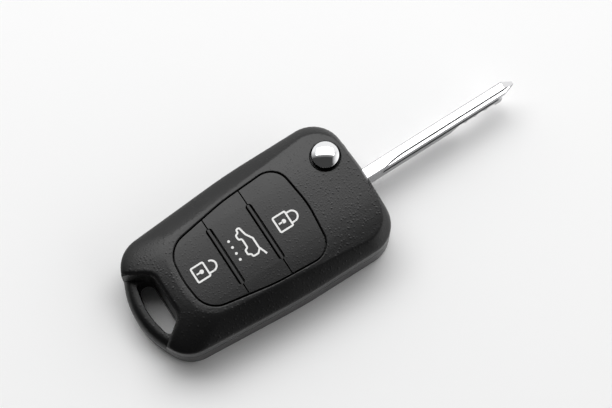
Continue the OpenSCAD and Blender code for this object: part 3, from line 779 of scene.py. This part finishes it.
keySpans = {
    "lock": (lockFrom, bladeEnd, [lockFrom]), "tailgate": (tailgateFrom, lockFrom, [lockFrom, tailgateFrom]),
    "unlock": (ringEnd, tailgateFrom, [tailgateFrom]),
}
for key, (x0, x1, channels) in keySpans.items():
    cap = keyCap(x0, x1, f"{key}_stem", channels)
    piece(f"{key}Cap", cap, f"{key}_key", "key_black", keyBlack, f"{key}_button")
membrane = crowned(keyRounded(copyOf("keypad_membrane"), keys["ribRound"]))
piece("membrane", membrane, "case", "silicone_black", siliconeBlack, "keypad_membrane")
print("keys done")


# Signs: thin white inlays on the keys, read with the blade pointing up
signs = {
    "line": 0.45, "low": 14.95, "high": 15.02, "cornerSteps": 6, "arcSteps": 16, "dotSegments": 24, "strokeLap": 0.5,
}
padlock = {"corner": 0.5, "holeShare": 0.58, "hole": 0.55, "ward": (0.4, 1.3), "wardLine": 0.42}
padlocks = {
    "lock": {"body": (7.08, 10.98, -2.6, 1.9), "top": 13.28, "bend": 1.4, "turn": math.pi, "legs": (-1, 1)},
    "unlock": {"body": (-16.03, -12.23, -2.3, 2), "top": -9.63, "bend": 1.35, "turn": 0.98 * math.pi, "legs": (-1,)},
}
tailgate = {
    "nose": (-1.7, 4.35, 0.6), "wheels": (2.3, -2), "sill": -1.7, "arch": (1.05, 0.3), "wheelLow": -2.5,
    "wheel": (0.8, 0.62), "lid": [(0.98, -2.76), (1.68, -4.7)], "dotX": -4.48, "dots": (2.6, 0.87, -0.87, -2.6),
    "dot": 0.34,
    "roof": [(-1.7, -3.9, 0.6), (0.1, -3.9, 0.55), (1.08, -2.9, 0.55), (1.08, 0.3, 0.8), (0.05, 2, 0.6),
             (-0.45, 4.35, 0.6)],
}


def framed(corners):
    bm = bmesh.new()
    face = bm.faces.new([bm.verts.new(p) for p in roundedPath(corners, signs["cornerSteps"])])
    bm.normal_update()
    rim = bmesh.ops.inset_region(bm, faces=[face], thickness=signs["line"], use_even_offset=True,
                                 use_boundary=True)["faces"]
    bmesh.ops.delete(bm, geom=[f for f in bm.faces if f not in rim], context="FACES_ONLY")
    return bm


def stroke(a, b, line):
    a, b = Vector((*a, 0)), Vector((*b, 0))
    along = b - a
    place = Matrix.Translation((a + b) / 2) @ Matrix.Rotation(math.atan2(along.y, along.x), 4, "Z")
    size = Matrix.Diagonal((along.length + signs["strokeLap"] * line, line, 1, 1))
    bm = bmesh.new()
    bmesh.ops.create_grid(bm, x_segments=1, y_segments=1, size=0.5, matrix=place @ size)
    return bm


def arcBand(x, y, radius, line, start, turn):
    bm = bmesh.new()
    heading = Vector((math.cos(start), math.sin(start), 0))
    ends = [bm.verts.new(Vector((x, y, 0)) + heading * (radius + side * line / 2)) for side in (-1, 1)]
    edge = bm.edges.new(ends)
    bmesh.ops.spin(bm, geom=ends + [edge], cent=(x, y, 0), axis=(0, 0, 1), angle=turn, steps=signs["arcSteps"],
                   use_duplicate=False)
    return bm


def dot(x, y, radius):
    bm = bmesh.new()
    bmesh.ops.create_circle(bm, cap_ends=True, segments=signs["dotSegments"], radius=radius,
                            matrix=Matrix.Translation((x, y, 0)))
    return bm


def sign(key, *parts):
    bm = joined(*parts)
    bmesh.ops.recalc_face_normals(bm, faces=bm.faces)
    bmesh.ops.translate(bm, vec=(0, 0, signs["low"]), verts=bm.verts)
    grown = bmesh.ops.extrude_face_region(bm, geom=bm.faces[:])["geom"]
    raised = [g for g in grown if isinstance(g, bmesh.types.BMVert)]
    bmesh.ops.translate(bm, vec=(0, 0, signs["high"] - signs["low"]), verts=raised)
    bmesh.ops.recalc_face_normals(bm, faces=bm.faces)
    piece(f"{key}Sign", crowned(bm), f"{key}_key", "key_black", signWhite)


def padlockSign(key):
    look, line = padlocks[key], signs["line"]
    x0, x1, y0, y1 = look["body"]
    middle, radius = (y0 + y1) / 2, look["bend"]
    hole = x0 + padlock["holeShare"] * (x1 - x0)
    wardFrom, wardTo = padlock["ward"]
    body = [framed(boxCorners(*look["body"], padlock["corner"])), dot(hole, middle, padlock["hole"]),
            stroke((hole - wardFrom, middle), (hole - wardTo, middle), padlock["wardLine"])]
    bend = look["top"] - radius - line / 2
    legs = [stroke((x1 - line / 2, middle + side * radius), (bend, middle + side * radius), line)
            for side in look["legs"]]
    sign(key, *body, arcBand(bend, middle, radius, line, -quarter, look["turn"]), *legs)


def tailgateSign():
    sill, low = tailgate["sill"], tailgate["wheelLow"]
    (arch, archRadius), (wheel, wheelRadius) = tailgate["arch"], tailgate["wheel"]
    outline = [tailgate["nose"]]
    for y in tailgate["wheels"]:
        outline += [(sill, y + arch, archRadius), (low, y + wheel, wheelRadius), (low, y - wheel, wheelRadius),
                    (sill, y - arch, archRadius)]
    spots = [dot(tailgate["dotX"], y, tailgate["dot"]) for y in tailgate["dots"]]
    sign("tailgate", framed(outline + tailgate["roof"]), stroke(*tailgate["lid"], signs["line"]), *spots)


padlockSign("lock")
padlockSign("unlock")
tailgateSign()
print("signs done")


# Release button: a polished shallow dome over a plain skirt, on a collar
button = {"crown": 0.95, "crownSteps": 16, "rim": 0.3, "foot": 0.1, "cornerSteps": 6, "segments": 128,
          "sharp": 50, "collarRound": 0.15}


def releaseDome():
    top, crown, bend = buttonHigh.z, button["crown"], button["rim"] / 2
    ball = (buttonRadius * buttonRadius + crown * crown) / (2 * crown)
    bm = bmesh.new()
    start = bm.verts.new((0, top, 0))
    bmesh.ops.spin(bm, geom=[start], cent=(0, top - ball, 0), axis=(0, 0, -1), steps=button["crownSteps"],
                   angle=math.asin((buttonRadius - button["rim"]) / ball), use_duplicate=False)
    profile = [(v.co.x, v.co.y, 0) for v in bm.verts]
    bm.free()
    profile += [(buttonRadius, profile[-1][1] - bend, bend), (buttonRadius, buttonLow.z, button["foot"]),
                (0, buttonLow.z, 0)]
    return turned(profile, pivot.x, pivot.y, button["cornerSteps"], button["segments"])


# Blade: ground smooth on top, with a wider round along its upper far edge
blade = {"round": 0.09, "farRound": 0.3, "farSegments": 4, "tipCorner": 0.12, "edge": 0.05, "hubRound": 0.2}


def bladeShape():
    bm = copyOf("key_blade")
    farY, topZ = bladeHigh.y - blade["edge"], bladeHigh.z - blade["edge"]
    bmesh.ops.remove_doubles(bm, verts=[v for v in bm.verts if v.co.y > farY], dist=blade["tipCorner"])
    far = [e for e in bm.edges if all(v.co.z > topZ and v.co.y > farY for v in e.verts)]
    print("blade's far edge in", len(far), "runs")
    return softened(bevelled(bm, far, blade["farRound"], blade["farSegments"]), blade["round"])


piece("releaseDome", releaseDome(), "release", "chrome", chrome, "release_button", sharp=button["sharp"])
collar = softened(copyOf("release_plunger"), button["collarRound"])
piece("releasePlunger", collar, "release", "hub_plastic", hubPlastic, "release_plunger")
hub = softened(copyOf("blade_hub"), blade["hubRound"])
piece("bladeHub", hub, "blade", "hub_plastic", hubPlastic, "blade_hub")
piece("keyBlade", bladeShape(), "blade", "blade_nickel", bladeNickel, "key_blade")

# Screws and spring: the spring gets a mesh of its own
hardware = {"screwRound": 0.12, "springSlack": 0.05, "springSharp": 60}
screws = softened(copyOf("case_screws"), hardware["screwRound"])
piece("caseScrews", screws, "case", "steel", steel, "case_screws")
coil = piece("flipSpring", copyOf("flip_spring"), "blade", "steel", steel, "flip_spring", sharp=hardware["springSharp"])
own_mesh(coil)
print("blade and button done")

# Pieces kept as drawn
looks = {
    "cover_seal": sealRubber, "lock_stem": chipBlack, "tailgate_stem": chipBlack, "unlock_stem": chipBlack,
    "switch_bodies": steel, "circuit_board": boardGreen, "controller_chip": chipBlack, "radio_crystal": steel,
    "antenna_coil": coilCopper, "coin_cell": cellSteel, "positive_contact": contactGold,
    "negative_contact": contactGold, "transponder_chip": chipBlack, "blade_pin": steel, "hub_washer": steel,
}
for node, look in looks.items():
    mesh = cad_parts[node].data
    mesh.materials.clear()
    mesh.materials.append(look)
print("inner pieces dressed")


# Floor, light and camera, in metres but for the camera's place
studio = {
    "floor": 6, "paper": (0.94, 0.94, 0.94), "paperSpecular": 0.2, "paperScale": 3, "paperRough": (0.6, 0.7),
    "panel": (1.6, 0.85), "panelEdge": 0.23, "panelHeight": 0.95, "panelPower": 12.2,
    "dark": 0.05, "glow": 0.95, "glowRange": (0, 0.5), "sideGlow": 1.5, "sideRange": (0.5, 0.9),
    "target": (18.325, 3.7, 0), "turn": -33, "rise": 75, "distance": 425, "lens": 100, "sensor": 36, "clip": (0.01, 20),
}
turn, rise = math.radians(studio["turn"]), math.radians(studio["rise"])
behind = Vector((-math.sin(turn), math.cos(turn), 0))


def makeFloor():
    bm = bmesh.new()
    bmesh.ops.create_grid(bm, x_segments=1, y_segments=1, size=studio["floor"] / 2)
    floor = inScene("floor", meshOf("floor", bm))
    paper, tree, shader, place = newMaterial("paper", studio["paper"], specular=studio["paperSpecular"])
    low, high = studio["paperRough"]
    touch = useGroup(tree, handling, place["Object"], Scale=studio["paperScale"], Low=low, High=high)
    tree.links.new(touch["Value"], shader["Roughness"])
    floor.data.materials.append(paper)


def makePanel():
    lamp = bpy.data.lights.new("panel", "AREA")
    lamp.shape = "RECTANGLE"
    lamp.size, lamp.size_y = studio["panel"]
    lamp.energy = studio["panelPower"]
    panel = inScene("panel", lamp)
    panel.location = behind * (studio["panelEdge"] + lamp.size_y / 2) + Vector((0, 0, studio["panelHeight"]))
    panel.rotation_euler = (0, 0, turn)


# The room is bright behind the key and to its right, and dark in front
def makeRoom():
    world = bpy.data.worlds.new("studio")
    world.use_nodes = True
    tree = world.node_tree
    heading = tree.nodes.new("ShaderNodeTexCoord").outputs["Generated"]
    ahead = vectorNode(tree, "DOT_PRODUCT", heading, behind)["Value"]
    aside = vectorNode(tree, "DOT_PRODUCT", heading, behind.cross((0, 0, 1)))["Value"]
    glow = rangeNode(tree, ahead, *studio["glowRange"], studio["dark"], studio["glow"])
    side = rangeNode(tree, aside, *studio["sideRange"], 0, studio["sideGlow"])
    tree.links.new(mathNode(tree, "MAXIMUM", glow, side), tree.nodes["Background"].inputs["Color"])
    scene.world = world


def makeCamera():
    back = Vector((math.sin(turn) * math.cos(rise), -math.cos(turn) * math.cos(rise), math.sin(rise)))
    data = bpy.data.cameras.new("camera")
    data.lens, data.sensor_width = studio["lens"], studio["sensor"]
    data.clip_start, data.clip_end = studio["clip"]
    camera = inScene("camera", data)
    camera.location = Vector(studio["target"]) * mm + back * studio["distance"] * mm
    camera.rotation_euler = back.to_track_quat("Z", "Y").to_euler()
    scene.camera = camera
    scene.view_settings.view_transform = "Standard"


makeFloor()
makePanel()
makeRoom()
makeCamera()
print("studio done")
